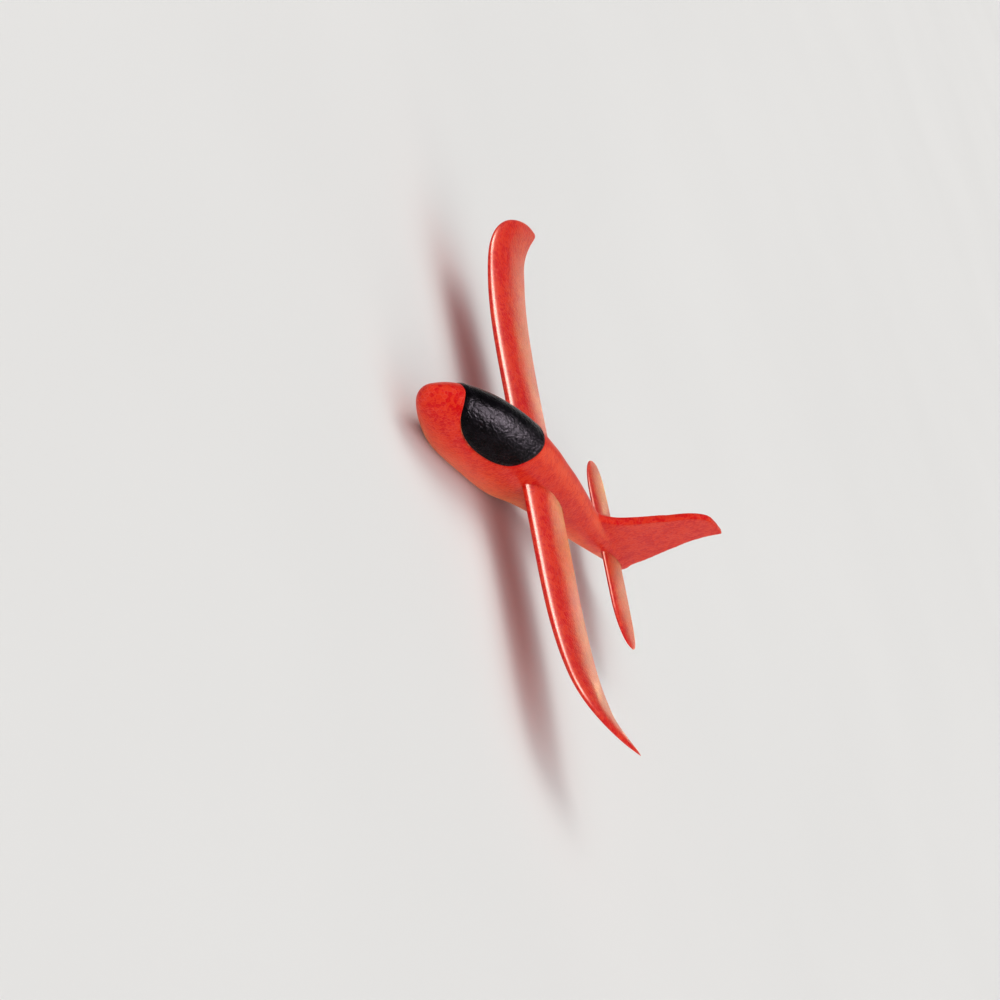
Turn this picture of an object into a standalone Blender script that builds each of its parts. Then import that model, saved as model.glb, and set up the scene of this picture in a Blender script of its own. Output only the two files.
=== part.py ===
"""Hand-launched foam glider: one-piece fuselage and fin, through-slot wing and tailplane, lift-off canopy.

Units are metres. The nose points to -Y, the wing spans X, +Z is up. The flat of the belly stands on Z = 0,
and the origin is below the middle of the glider's length.
"""
import math

import bmesh
import bpy
from mathutils import Vector

# Driving dimensions
LENGTH = 0.416            # nose to tail end
SPAN = 0.492              # wing tip to wing tip
WING_CHORD = 0.085        # at the fuselage
TAIL_SPAN = 0.184
TAIL_CHORD = 0.045
FIN_TOP = 0.130           # above the belly flat
FIN_THICKNESS = 0.0065
CLEARANCE = 0.0003        # between pieces that touch

# Places worked out from the driving dimensions
NOSE_Y = -LENGTH / 2
WING_LE_Y = NOSE_Y + 0.163
WING_Z = 0.041
TAIL_LE_Y = NOSE_Y + 0.359
TAIL_Z = 0.035

# Fuselage: distance behind the nose, top, bottom and half width. The belly is cut flat at Z = 0.
FUSELAGE_STATIONS = (
    (0.000, 0.0360, 0.0360, 0.0000),
    (0.008, 0.0430, 0.0220, 0.0070),
    (0.023, 0.0533, 0.0140, 0.0130),
    (0.047, 0.0625, 0.0055, 0.0187),
    (0.078, 0.0698, -0.0012, 0.0231),
    (0.125, 0.0744, -0.0022, 0.0247),
    (0.176, 0.0723, -0.0012, 0.0224),
    (0.205, 0.0690, 0.0060, 0.0203),
    (0.235, 0.0656, 0.0108, 0.0179),
    (0.282, 0.0584, 0.0143, 0.0145),
    (0.332, 0.0507, 0.0189, 0.0104),
    (0.391, 0.0450, 0.0255, 0.0066),
    (0.416, 0.0430, 0.0280, 0.0050),
)
FUSELAGE_RINGS = 44
FUSELAGE_SIDES = 36

# Canopy: side outline of its edge, as distance behind the nose and height
CANOPY_EDGE = (
    (0.0235, 0.0560), (0.0350, 0.0440), (0.0600, 0.0353), (0.0950, 0.0365),
    (0.1210, 0.0455), (0.1330, 0.0610), (0.1415, 0.0780),
)
CANOPY_PROUD = 0.0007     # how far its skin stands above the foam
CANOPY_DEPTH = 0.0030     # how deep its seat is cut
CANOPY_PEG_R = 0.0035
CANOPY_PEG_STATIONS = (0.088, 0.116)
CANOPY_PEG_TIP_Z = 0.056

# Ballast: a steel slug at the bottom of a pocket below the canopy, with a foam plug over it
SLUG_SIZE = (0.012, 0.026, 0.012)
SLUG_STATION = 0.050
SLUG_BASE_Z = 0.018
PLUG_TOP_Z = 0.0545

# Wing: half-span stations and the planform there
WING_STRAIGHT = 0.070     # half span of the flat, straight centre
WING_TIP_RISE = 0.028
WING_RISE_POWER = 3.2     # how late the tip curls up
WING_BOW = 0.003          # how far the leading edge bows forward before it turns back
WING_THICKNESS = 0.144    # of the chord
WING_CAMBER = 0.042
WING_TE_THICKNESS = 0.0024
WING_TE_LINE = (
    (0.070, 0.0850), (0.140, 0.0830), (0.198, 0.0740), (0.213, 0.0698), (0.223, 0.0702), (0.234, 0.0742),
    (0.2400, 0.0775), (0.2440, 0.0792), (0.2460, 0.0775),
)
WING_NOSE_ROUND = (0.189, 0.073)   # where the leading edge turns back, and how far it goes back

# Glass-fibre rod let into the underside of the wing's straight centre
SPAR_LENGTH = 0.136
SPAR_R = 0.0011
SPAR_CHORD_PLACE = 0.30

# Tailplane
TAIL_STRAIGHT = 0.026
TAIL_THICKNESS = 0.125
TAIL_TE_THICKNESS = 0.0018
TAIL_TE_LINE = (
    (0.026, 0.0450), (0.062, 0.0442), (0.076, 0.0430), (0.085, 0.0400), (0.090, 0.0360), (0.092, 0.0325),
)
TAIL_NOSE_ROUND = (0.046, 0.0285)

SECTION_POINTS = 13       # along each surface of a wing section
CUT_HEIGHT = 0.095        # cutters run up to here, above every part of the pod and the boom
CUT_HALF_WIDTH = 0.04     # and out to here, beyond the fuselage's sides
GROOVE_CUT_DEPTH = 0.010  # the rod groove's cutter runs this far down, out of the wing's underside
FLAT = 0.0                # height of the belly flat


def clear_scene():
    for item in list(bpy.data.objects):
        bpy.data.objects.remove(item, do_unlink=True)
    for group in list(bpy.data.collections):
        bpy.data.collections.remove(group)


def new_collection(name, hidden=False):
    group = bpy.data.collections.new(name)
    bpy.context.scene.collection.children.link(group)
    group.hide_render = hidden
    return group


def material(name, colour, roughness, metallic=0.0):
    made = bpy.data.materials.new(name)
    made.use_nodes = True
    shader = made.node_tree.nodes["Principled BSDF"]
    shader.inputs["Base Color"].default_value = (*colour, 1.0)
    shader.inputs["Roughness"].default_value = roughness
    shader.inputs["Metallic"].default_value = metallic
    made.diffuse_color = (*colour, 1.0)
    return made


def place(name, bm, group, finish=None):
    """Makes an object of a bmesh, with its faces pointing out."""
    bmesh.ops.recalc_face_normals(bm, faces=bm.faces)
    mesh = bpy.data.meshes.new(name)
    bm.to_mesh(mesh)
    bm.free()
    made = bpy.data.objects.new(name, mesh)
    group.objects.link(made)
    if finish is None:
        made.hide_render = True
        made.display_type = "WIRE"
    else:
        mesh.materials.append(finish)
    return made


def boolean(target, cutter, operation="DIFFERENCE"):
    step = target.modifiers.new(f"{operation.lower()} {cutter.name}", "BOOLEAN")
    step.operation = operation
    step.solver = "EXACT"
    step.object = cutter


def through(points, value):
    """Smooth curve through (key, number) points, read at a key: cubic pieces with slopes from neighbours."""
    last = len(points) - 1
    value = min(max(value, points[0][0]), points[last][0])
    i = max(k for k in range(last) if points[k][0] <= value)

    def slope(k):
        low, high = max(k - 1, 0), min(k + 1, last)
        return (points[high][1] - points[low][1]) / (points[high][0] - points[low][0])

    (x0, y0), (x1, y1) = points[i], points[i + 1]
    width = x1 - x0
    t = (value - x0) / width
    return (
        (2 * t**3 - 3 * t**2 + 1) * y0
        + (t**3 - 2 * t**2 + t) * width * slope(i)
        + (3 * t**2 - 2 * t**3) * y1
        + (t**3 - t**2) * width * slope(i + 1)
    )


def loft(bm, rings):
    """Skins closed rings of points, with a flat face at each end, or a fan where an end is one point."""
    loops = [[bm.verts.new(point) for point in ring] for ring in rings]
    for near, far in zip(loops, loops[1:]):
        count = max(len(near), len(far))
        for i in range(count):
            j = (i + 1) % count
            if len(near) == 1:
                bm.faces.new((near[0], far[j], far[i]))
            else:
                bm.faces.new((near[i], near[j], far[j], far[i]))
    for end in (loops[0], loops[-1]):
        if len(end) > 2:
            bm.faces.new(end)


# Fuselage

def fuselage_profile(station, column):
    """Top, bottom or half width. The key is the square root of the station, so that the nose closes round."""
    return through([(math.sqrt(row[0]), row[column]) for row in FUSELAGE_STATIONS], math.sqrt(station))


def fuselage_ring(station, grow):
    top = fuselage_profile(station, 1) + grow
    bottom = fuselage_profile(station, 2) - grow
    half_width = max(fuselage_profile(station, 3) + grow, 0.0002)
    middle, half_height = (top + bottom) / 2, max((top - bottom) / 2, 0.0002)
    ring = []
    for i in range(FUSELAGE_SIDES):
        angle = math.tau * i / FUSELAGE_SIDES
        ring.append((half_width * math.cos(angle), NOSE_Y + station, middle + half_height * math.sin(angle)))
    return ring


def fuselage_body(grow=0.0):
    """The fuselage's outer form, thicker all round by grow, with rings closer together at the nose."""
    bm = bmesh.new()
    rings = [[(0.0, NOSE_Y, fuselage_profile(0.0, 1))]]
    for i in range(1, FUSELAGE_RINGS + 1):
        rings.append(fuselage_ring(LENGTH * (i / FUSELAGE_RINGS) ** 1.7, grow))
    loft(bm, rings)
    return bm


def cut_belly(bm):
    """Cuts the belly flat and closes the cut with one face."""
    geometry = bm.verts[:] + bm.edges[:] + bm.faces[:]
    cut = bmesh.ops.bisect_plane(
        bm, geom=geometry, plane_co=(0, 0, FLAT), plane_no=(0, 0, -1), clear_outer=True
    )
    rim = [item for item in cut["geom_cut"] if isinstance(item, bmesh.types.BMEdge)]
    bmesh.ops.contextual_create(bm, geom=rim)


def plate(name, outline, half_thickness, group, finish=None):
    """A flat plate across X, from a side outline of (station, height)."""
    curve = bpy.data.curves.new(name, "CURVE")
    curve.dimensions = "2D"
    curve.fill_mode = "BOTH"
    curve.extrude = half_thickness
    spline = curve.splines.new("POLY")
    spline.points.add(len(outline) - 1)
    for point, (station, height) in zip(spline.points, outline):
        point.co = (NOSE_Y + station, height, 0.0, 1.0)
    spline.use_cyclic_u = True
    drawn = bpy.data.objects.new(name + "_outline", curve)
    group.objects.link(drawn)
    # the curve's own X and Y become the glider's Y and Z
    drawn.rotation_euler = (math.pi / 2, 0.0, math.pi / 2)
    bpy.context.view_layer.update()
    mesh = bpy.data.meshes.new_from_object(drawn.evaluated_get(bpy.context.evaluated_depsgraph_get()))
    bm = bmesh.new()
    bm.from_mesh(mesh)
    bmesh.ops.transform(bm, matrix=drawn.matrix_world, verts=bm.verts)
    bmesh.ops.remove_doubles(bm, verts=bm.verts, dist=0.00001)
    bpy.data.objects.remove(drawn, do_unlink=True)
    return place(name, bm, group, finish)


def sampled(points, count):
    """A smooth line through side points, as evenly spaced points. The key runs along the line."""
    keys = [0.0]
    for (x0, z0), (x1, z1) in zip(points, points[1:]):
        keys.append(keys[-1] + math.hypot(x1 - x0, z1 - z0))
    line = []
    for i in range(count + 1):
        key = keys[-1] * i / count
        line.append(tuple(through([(k, p[axis]) for k, p in zip(keys, points)], key) for axis in (0, 1)))
    return line


def fin_outline():
    leading = sampled(((0.300, 0.052), (0.324, 0.0610), (0.336, 0.0735), (0.352, 0.0980), (0.364, 0.1180),
                       (0.379, 0.1288), (0.396, FIN_TOP), (0.4155, FIN_TOP - 0.001)), 22)
    trailing = sampled(((0.4155, FIN_TOP - 0.001), (0.4100, 0.1120), (0.4095, 0.0860), (0.4140, 0.0560),
                        (0.4155, 0.0380)), 12)
    return leading + trailing[1:] + [(0.400, 0.036), (0.320, 0.036)]


def make_fuselage(group, cutters, finish):
    bm = fuselage_body()
    cut_belly(bm)
    fuselage = place("fuselage", bm, group, finish)
    fin = plate("fin_blank", fin_outline(), FIN_THICKNESS / 2, cutters)
    rounding = fin.modifiers.new("soft edges", "BEVEL")
    rounding.width = FIN_THICKNESS * 0.36
    rounding.segments = 2
    rounding.limit_method = "ANGLE"
    rounding.angle_limit = math.radians(60)
    boolean(fuselage, fin, "UNION")
    return fuselage


# Canopy and ballast

def canopy_outline(grow):
    """Side outline of the canopy's region, opened up by grow, closed well above the fuselage."""
    edge = sampled(CANOPY_EDGE, 26)
    line = []
    for i, (station, height) in enumerate(edge):
        before, after = edge[max(i - 1, 0)], edge[min(i + 1, len(edge) - 1)]
        run, rise = after[0] - before[0], after[1] - before[1]
        length = math.hypot(run, rise)
        line.append((station + grow * rise / length, height - grow * run / length))
    start, end = line[0], line[-1]
    return [(start[0] - 0.006, CUT_HEIGHT)] + line + [(end[0] + 0.004, CUT_HEIGHT)]


def make_canopy(group, cutters, fuselage, finish):
    core = place("canopy_seat_core", fuselage_body(-CANOPY_DEPTH), cutters)
    seat = plate("canopy_seat", canopy_outline(CLEARANCE), CUT_HALF_WIDTH, cutters)
    boolean(seat, core)
    boolean(fuselage, seat)

    canopy = place("canopy", fuselage_body(CANOPY_PROUD), group, finish)
    region = plate("canopy_region", canopy_outline(0.0), CUT_HALF_WIDTH, cutters)
    inner = place("canopy_inner", fuselage_body(CLEARANCE - CANOPY_DEPTH), cutters)
    boolean(canopy, region, "INTERSECT")
    boolean(canopy, inner)
    for number, station in enumerate(CANOPY_PEG_STATIONS, 1):
        top = fuselage_profile(station, 1) - CANOPY_DEPTH / 2
        peg = round_pin(f"canopy_peg_{number}", station, CANOPY_PEG_TIP_Z, top, 0.0, cutters)
        boolean(canopy, peg, "UNION")
        low = CANOPY_PEG_TIP_Z - CLEARANCE
        socket = round_pin(f"peg_socket_{number}", station, low, CUT_HEIGHT, CLEARANCE, cutters)
        boolean(fuselage, socket)
    return canopy


def round_pin(name, station, low, high, grow, group):
    bm = bmesh.new()
    radius = CANOPY_PEG_R + grow
    bmesh.ops.create_cone(bm, cap_ends=True, segments=20, radius1=radius, radius2=radius, depth=high - low)
    bmesh.ops.translate(bm, verts=bm.verts, vec=(0.0, NOSE_Y + station, (low + high) / 2))
    return place(name, bm, group)


def block(name, size, centre, group, finish=None):
    bm = bmesh.new()
    bmesh.ops.create_cube(bm, size=1.0)
    bmesh.ops.scale(bm, vec=size, verts=bm.verts)
    bmesh.ops.translate(bm, verts=bm.verts, vec=centre)
    made = place(name, bm, group, finish)
    edges = made.modifiers.new("soft edges", "BEVEL")
    edges.width = 0.001
    edges.segments = 2
    return made


def make_ballast(group, cutters, fuselage, steel, foam):
    centre_y = NOSE_Y + SLUG_STATION
    width, length, height = SLUG_SIZE
    slug_top = SLUG_BASE_Z + height
    block("nose_weight", SLUG_SIZE, (0.0, centre_y, SLUG_BASE_Z + height / 2), group, steel)
    plug_low = slug_top + CLEARANCE
    block("weight_plug", (width, length, PLUG_TOP_Z - plug_low),
          (0.0, centre_y, (plug_low + PLUG_TOP_Z) / 2), group, foam)
    pocket_low = SLUG_BASE_Z - CLEARANCE
    pocket = block("ballast_pocket", (width + 2 * CLEARANCE, length + 2 * CLEARANCE, CUT_HEIGHT - pocket_low),
                   (0.0, centre_y, (pocket_low + CUT_HEIGHT) / 2), cutters)
    boolean(fuselage, pocket)


# Wing and tailplane

def section(chord, thickness, camber, edge_thickness, scale=1.0, grow=0.0):
    """A closed wing section as (back, up) points: a cambered form whose trailing edge keeps a thickness."""
    def surface(t, side):
        form = 5 * thickness * (
            0.2969 * math.sqrt(t) - 0.1260 * t - 0.3516 * t**2 + 0.2843 * t**3 - 0.1036 * t**4
        )
        middle = camber * (1 - ((t - 0.4) / 0.4) ** 2) if t < 0.4 else camber * (1 - ((t - 0.4) / 0.6) ** 2)
        half = (form * chord + edge_thickness / 2 * t) * scale + grow
        return middle * chord + side * half

    shares = [(1 - math.cos(math.pi * i / (SECTION_POINTS - 1))) / 2 for i in range(SECTION_POINTS)]
    top = [(t * (chord + 2 * grow) - grow, surface(t, 1)) for t in reversed(shares)]
    bottom = [(t * (chord + 2 * grow) - grow, surface(t, -1)) for t in shares]
    front = (-grow, surface(0.0, 1)), (-grow, surface(0.0, -1))
    if grow > 0:
        return top[:-1] + list(front) + bottom[1:]
    return top[:-1] + bottom


def turned_back(distance, start, end, depth):
    """How far a leading edge has curved back at a distance from the middle."""
    share = min(max((distance - start) / (end - start), 0.0), 1.0)
    return depth * (1 - math.sqrt(max(1 - share**2.5, 0.0)))


def panel(stations, ring_at):
    """A one-piece wing: the same rings on both sides of the middle."""
    bm = bmesh.new()
    sides = [-x for x in reversed(stations)] + list(stations)
    loft(bm, [ring_at(x) for x in sides])
    return bm


def wing_ring(x):
    distance = abs(x)
    back = turned_back(distance, WING_NOSE_ROUND[0], SPAN / 2, WING_NOSE_ROUND[1])
    trailing = through(WING_TE_LINE, max(distance, WING_STRAIGHT))
    outboard = max(distance - WING_STRAIGHT, 0.0) / (SPAN / 2 - WING_STRAIGHT)
    back -= WING_BOW * outboard**2
    rise = WING_TIP_RISE * outboard**WING_RISE_POWER
    chord = trailing - back
    scale = 1.0 - 0.30 * outboard**3
    points = section(chord, WING_THICKNESS, WING_CAMBER, WING_TE_THICKNESS, scale)
    return [(x, WING_LE_Y + back + along, WING_Z + rise + up) for along, up in points]


def tail_ring(x):
    distance = abs(x)
    back = turned_back(distance, TAIL_NOSE_ROUND[0], TAIL_SPAN / 2, TAIL_NOSE_ROUND[1])
    trailing = through(TAIL_TE_LINE, max(distance, TAIL_STRAIGHT))
    outboard = max(distance - TAIL_STRAIGHT, 0.0) / (TAIL_SPAN / 2 - TAIL_STRAIGHT)
    points = section(trailing - back, TAIL_THICKNESS, 0.0, TAIL_TE_THICKNESS, 1.0 - 0.25 * outboard**3)
    return [(x, TAIL_LE_Y + back + along, TAIL_Z + up) for along, up in points]


def slot_cutter(name, chord, form, edge_y, height, half_length, cutters):
    """The section of a wing's straight centre with clearance all round, run through the fuselage along X."""
    outline = section(chord, *form, grow=CLEARANCE)
    bm = bmesh.new()
    ends = (-half_length, half_length)
    loft(bm, [[(x, edge_y + along, height + up) for along, up in outline] for x in ends])
    return place(name, bm, cutters)


def make_wing(group, cutters, fuselage, foam, glass):
    half = SPAN / 2
    outer = [WING_STRAIGHT + (half - WING_STRAIGHT) * (1 - (1 - i / 16) ** 1.7) for i in range(1, 17)]
    wing = place("wing", panel([WING_STRAIGHT] + outer, wing_ring), group, foam)
    form = (WING_THICKNESS, WING_CAMBER, WING_TE_THICKNESS)
    boolean(fuselage, slot_cutter("wing_slot", WING_CHORD, form, WING_LE_Y, WING_Z, CUT_HALF_WIDTH, cutters))

    spar_y = WING_LE_Y + SPAR_CHORD_PLACE * WING_CHORD
    lowest = min(up for along, up in section(WING_CHORD, *form))
    spar_z = WING_Z + lowest + SPAR_R + 2 * CLEARANCE
    groove_half = SPAR_LENGTH / 2 + CLEARANCE
    groove_top = spar_z + SPAR_R + CLEARANCE
    groove = block("spar_groove", (2 * groove_half, 2 * (SPAR_R + CLEARANCE), GROOVE_CUT_DEPTH),
                   (0.0, spar_y, groove_top - GROOVE_CUT_DEPTH / 2), cutters)
    groove.modifiers.clear()
    boolean(wing, groove)
    bm = bmesh.new()
    bmesh.ops.create_cone(bm, cap_ends=True, segments=16, radius1=SPAR_R, radius2=SPAR_R, depth=SPAR_LENGTH)
    spar = place("wing_spar", bm, group, glass)
    spar.location = (0.0, spar_y, spar_z)
    spar.rotation_euler = (0.0, math.pi / 2, 0.0)
    return wing


def make_tailplane(group, cutters, fuselage, foam):
    half = TAIL_SPAN / 2
    outer = [TAIL_STRAIGHT + (half - TAIL_STRAIGHT) * (1 - (1 - i / 12) ** 1.6) for i in range(1, 13)]
    tailplane = place("tailplane", panel([TAIL_STRAIGHT] + outer, tail_ring), group, foam)
    form = (TAIL_THICKNESS, 0.0, TAIL_TE_THICKNESS)
    boolean(fuselage, slot_cutter("tail_slot", TAIL_CHORD, form, TAIL_LE_Y, TAIL_Z, CUT_HALF_WIDTH, cutters))
    return tailplane


def set_origin(item, point):
    """Moves an object's origin to a point on its joint's line, with its shape left in place."""
    shift = Vector(point) - item.location
    for vertex in item.data.vertices:
        vertex.co -= shift
    item.location += shift


def smooth(item):
    item.data.shade_smooth()
    item.data.set_sharp_from_angle(angle=math.radians(35))


def main():
    clear_scene()
    parts = new_collection("hand_glider")
    cutters = new_collection("cutters", hidden=True)
    red_foam = material("red_foam", (0.60, 0.018, 0.022), 0.55)
    fuselage = make_fuselage(parts, cutters, red_foam)
    canopy = make_canopy(parts, cutters, fuselage, material("black_moulding", (0.012, 0.011, 0.013), 0.35))
    make_ballast(parts, cutters, fuselage, material("zinc_plated_steel", (0.52, 0.53, 0.55), 0.35, 1.0),
                 material("grey_plug_foam", (0.10, 0.10, 0.11), 0.85))
    wing = make_wing(parts, cutters, fuselage, red_foam, material("glass_fibre", (0.62, 0.60, 0.50), 0.40))
    tailplane = make_tailplane(parts, cutters, fuselage, red_foam)
    set_origin(canopy, (0.0, NOSE_Y + CANOPY_PEG_STATIONS[0], CANOPY_PEG_TIP_Z))
    set_origin(wing, (0.0, WING_LE_Y + WING_CHORD / 2, WING_Z))
    set_origin(tailplane, (0.0, TAIL_LE_Y + TAIL_CHORD / 2, TAIL_Z))
    for item in parts.objects:
        smooth(item)


main()
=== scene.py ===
"""Looks of a hand-launched foam glider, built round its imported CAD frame.

Everything is in metres in the frame's own axes: the nose points to -Y, the wing spans X and +Z is up.
"""
import logging
import math
from dataclasses import dataclass
from enum import Enum
from typing import Callable, Sequence

import bmesh
import bpy
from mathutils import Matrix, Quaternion, Vector


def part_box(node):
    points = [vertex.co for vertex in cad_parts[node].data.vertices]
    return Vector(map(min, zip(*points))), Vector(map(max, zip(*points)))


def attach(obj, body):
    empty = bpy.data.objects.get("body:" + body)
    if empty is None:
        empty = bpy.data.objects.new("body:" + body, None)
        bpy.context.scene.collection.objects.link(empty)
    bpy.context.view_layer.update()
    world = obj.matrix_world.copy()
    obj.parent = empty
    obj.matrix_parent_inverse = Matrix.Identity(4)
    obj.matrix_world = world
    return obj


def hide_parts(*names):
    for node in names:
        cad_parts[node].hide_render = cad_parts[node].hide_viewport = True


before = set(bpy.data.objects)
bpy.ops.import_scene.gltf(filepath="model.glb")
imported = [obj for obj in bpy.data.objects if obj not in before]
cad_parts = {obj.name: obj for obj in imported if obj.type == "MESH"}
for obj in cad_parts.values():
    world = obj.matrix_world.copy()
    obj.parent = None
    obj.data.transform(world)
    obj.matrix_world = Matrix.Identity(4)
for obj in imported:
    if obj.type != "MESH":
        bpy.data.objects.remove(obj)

log = logging.getLogger("glider")
Line = Sequence[tuple[float, float]]
Colour = tuple[float, float, float]
BODY = ("fuselage_foam",)
CANOPY = ("canopy_shell",)
PANELS = ("wing_foam", "tailplane_foam")
MM = 0.001


class Body(Enum):
    """The CAD bodies that the pieces ride on."""

    AIRFRAME = "airframe"
    CANOPY = "canopy"
    WING = "wing"
    TAILPLANE = "tailplane"


class Slot(Enum):
    """The record's material slots."""

    FOAM = "foam_red"
    CANOPY = "canopy_black"
    STEEL = "slug_steel"
    PLUG = "plug_foam"
    GLASS = "glass_fibre"


# Curves that the shapes are read from


def through(points: Line, key: float) -> float:
    """Reads a smooth curve through points at a key.

    Args:
        points: (key, number) pairs in rising order of key.
        key: where to read the curve; it is held inside the first and last key.

    Returns:
        The curve's number there, from cubic pieces with finite-difference slopes.
    """
    last = len(points) - 1
    key = min(max(key, points[0][0]), points[last][0])
    i = max(k for k in range(last) if points[k][0] <= key)

    def slope(k: int) -> float:
        """The curve's slope at point k."""
        low, high = max(k - 1, 0), min(k + 1, last)
        return (points[high][1] - points[low][1]) / (points[high][0] - points[low][0])

    (x0, y0), (x1, y1) = points[i], points[i + 1]
    width = x1 - x0
    t = (key - x0) / width
    return (
        (2 * t**3 - 3 * t**2 + 1) * y0 + (t**3 - 2 * t**2 + t) * width * slope(i)
        + (3 * t**2 - 2 * t**3) * y1 + (t**3 - t**2) * width * slope(i + 1)
    )


def sampled(points: Line, count: int) -> list[tuple[float, float]]:
    """Spaces points evenly along a smooth line.

    Args:
        points: the points that the line goes through.
        count: how many steps the line is cut into.

    Returns:
        count + 1 points, from the first to the last.
    """
    keys = [0.0]
    for (x0, z0), (x1, z1) in zip(points, points[1:]):
        keys.append(keys[-1] + math.hypot(x1 - x0, z1 - z0))
    both = [[(k, p[axis]) for k, p in zip(keys, points)] for axis in (0, 1)]
    places = [keys[-1] * i / count for i in range(count + 1)]
    return [(through(both[0], place), through(both[1], place)) for place in places]


def ease(value: float, low: float, high: float) -> float:
    """Rises smoothly from 0 at low to 1 at high."""
    t = min(max((value - low) / (high - low), 0.0), 1.0)
    return t * t * (3 - 2 * t)


# The bench: primitives, edit-mode shaping and applied modifiers


class Bench:
    """A piece in the making: one primitive that is shaped in edit mode and finished with modifiers."""

    def __init__(self, name: str) -> None:
        """Takes over the primitive that was just added and puts its place into its mesh.

        Args:
            name: the finished piece's name.
        """
        self.piece = bpy.context.active_object
        self.piece.name = self.piece.data.name = name
        bpy.ops.object.transform_apply(location=True, rotation=True, scale=True)
        bpy.context.tool_settings.mesh_select_mode = (True, False, False)

    @staticmethod
    def clear() -> None:
        """Leaves edit mode and deselects everything."""
        if bpy.context.mode != "OBJECT":
            bpy.ops.object.mode_set(mode="OBJECT")
        bpy.ops.object.select_all(action="DESELECT")

    @classmethod
    def circle(cls, name: str, sides: int, centre: Vector, turn: Vector, fill: str = "NOTHING") -> "Bench":
        """Starts from a circle of radius 1.

        Args:
            name: the piece's name.
            sides: how many vertices it has.
            centre: its middle.
            turn: its turn about X, Y and Z; unturned, it lies flat.
            fill: NOTHING or NGON.

        Returns:
            The bench with the circle on it.
        """
        cls.clear()
        bpy.ops.mesh.primitive_circle_add(vertices=sides, radius=1.0, fill_type=fill,
                                          location=centre, rotation=turn)
        return cls(name)

    @classmethod
    def cube(cls, name: str, size: Vector, centre: Vector) -> "Bench":
        """Starts from a block of a size at a centre."""
        cls.clear()
        bpy.ops.mesh.primitive_cube_add(size=1.0, location=centre, scale=size)
        return cls(name)

    @classmethod
    def rod(cls, name: str, sides: int, radius: float, low: Vector, length: float) -> "Bench":
        """Starts from an upright cylinder that stands on a point."""
        cls.clear()
        centre = low + Vector((0, 0, length / 2))
        bpy.ops.mesh.primitive_cylinder_add(vertices=sides, radius=radius, depth=length, location=centre)
        return cls(name)

    def edit(self) -> bmesh.types.BMesh:
        """Goes into edit mode on this piece and returns its edit mesh."""
        if self.piece.mode != "EDIT":
            self.clear()
            self.piece.select_set(True)
            bpy.context.view_layer.objects.active = self.piece
            bpy.ops.object.mode_set(mode="EDIT")
        mesh = bmesh.from_edit_mesh(self.piece.data)
        mesh.verts.ensure_lookup_table()
        return mesh

    def pick(self, test: Callable[[bmesh.types.BMVert], bool]) -> None:
        """Selects the vertices that pass a test, and the edges and faces that they span."""
        mesh = self.edit()
        for vertex in mesh.verts:
            vertex.select_set(test(vertex))
        mesh.select_flush_mode()
        bmesh.update_edit_mesh(self.piece.data)

    def shape(self, rule: Callable[[int, Vector], Vector]) -> None:
        """Moves every vertex to the place that a rule gives for its number and its place now."""
        mesh = self.edit()
        for vertex in mesh.verts:
            vertex.co = rule(vertex.index, vertex.co)
        bmesh.update_edit_mesh(self.piece.data)

    def extrude(self, by: Vector) -> None:
        """Extrudes what is selected."""
        bpy.ops.mesh.extrude_region_move(TRANSFORM_OT_translate={"value": by})

    def resize(self, factors: Vector, about: Vector) -> None:
        """Scales what is selected about a point."""
        bpy.ops.transform.resize(value=factors, center_override=about)

    def everything(self) -> None:
        """Selects the whole mesh."""
        self.edit()
        bpy.ops.mesh.select_all(action="SELECT")

    def outward(self) -> None:
        """Merges doubles and turns every face outwards."""
        self.everything()
        bpy.ops.mesh.remove_doubles(threshold=MM / 100)
        bpy.ops.mesh.normals_make_consistent(inside=False)

    def apply(self, kind: str, **settings: object) -> None:
        """Adds one modifier, sets it and applies it.

        Args:
            kind: the modifier's type.
            settings: its properties by name.
        """
        self.clear()
        self.piece.select_set(True)
        bpy.context.view_layer.objects.active = self.piece
        step = self.piece.modifiers.new(kind.lower(), kind)
        for name, value in settings.items():
            setattr(step, name, value)
        bpy.ops.object.modifier_apply(modifier=step.name)

    def cut(self, tool: "Bench", operation: str = "DIFFERENCE") -> None:
        """Cuts with another bench's piece, or joins it, and throws that piece away."""
        self.clear()
        self.apply("BOOLEAN", operation=operation, solver="EXACT", object=tool.piece)
        bpy.data.objects.remove(tool.piece, do_unlink=True)

    def weigh(self, name: str, weight: Callable[[Vector], float]) -> str:
        """Makes a vertex group whose weights come from each vertex's place, and returns its name."""
        self.clear()
        group = self.piece.vertex_groups.new(name=name)
        for vertex in self.piece.data.vertices:
            group.add([vertex.index], weight(vertex.co), "REPLACE")
        return group.name

    def deliver(self, body: Body, slot: Slot, nodes: Sequence[str], finish: bpy.types.Material,
                sharp: float = 40.0) -> bpy.types.Object:
        """Smooths and dresses the finished piece, hides the CAD nodes that it stands for and hangs it on its
        body.

        Args:
            body: the CAD body that it rides on.
            slot: the record's slot that its finish comes from; not used.
            nodes: the CAD nodes that it stands for.
            finish: its material.
            sharp: edges steeper than this, in degrees, stay sharp.

        Returns:
            The finished object.
        """
        self.clear()
        self.piece.vertex_groups.clear()
        self.piece.select_set(True)
        bpy.context.view_layer.objects.active = self.piece
        bpy.ops.object.shade_smooth_by_angle(angle=math.radians(sharp))
        self.piece.data.materials.clear()
        self.piece.data.materials.append(finish)
        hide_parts(*nodes)
        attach(self.piece, body.value)
        self.piece.data.calc_loop_triangles()
        count = len(self.piece.data.loop_triangles)
        log.info("%s: %d triangles, rides on %s", self.piece.name, count, body.value)
        return self.piece


# Materials


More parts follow.
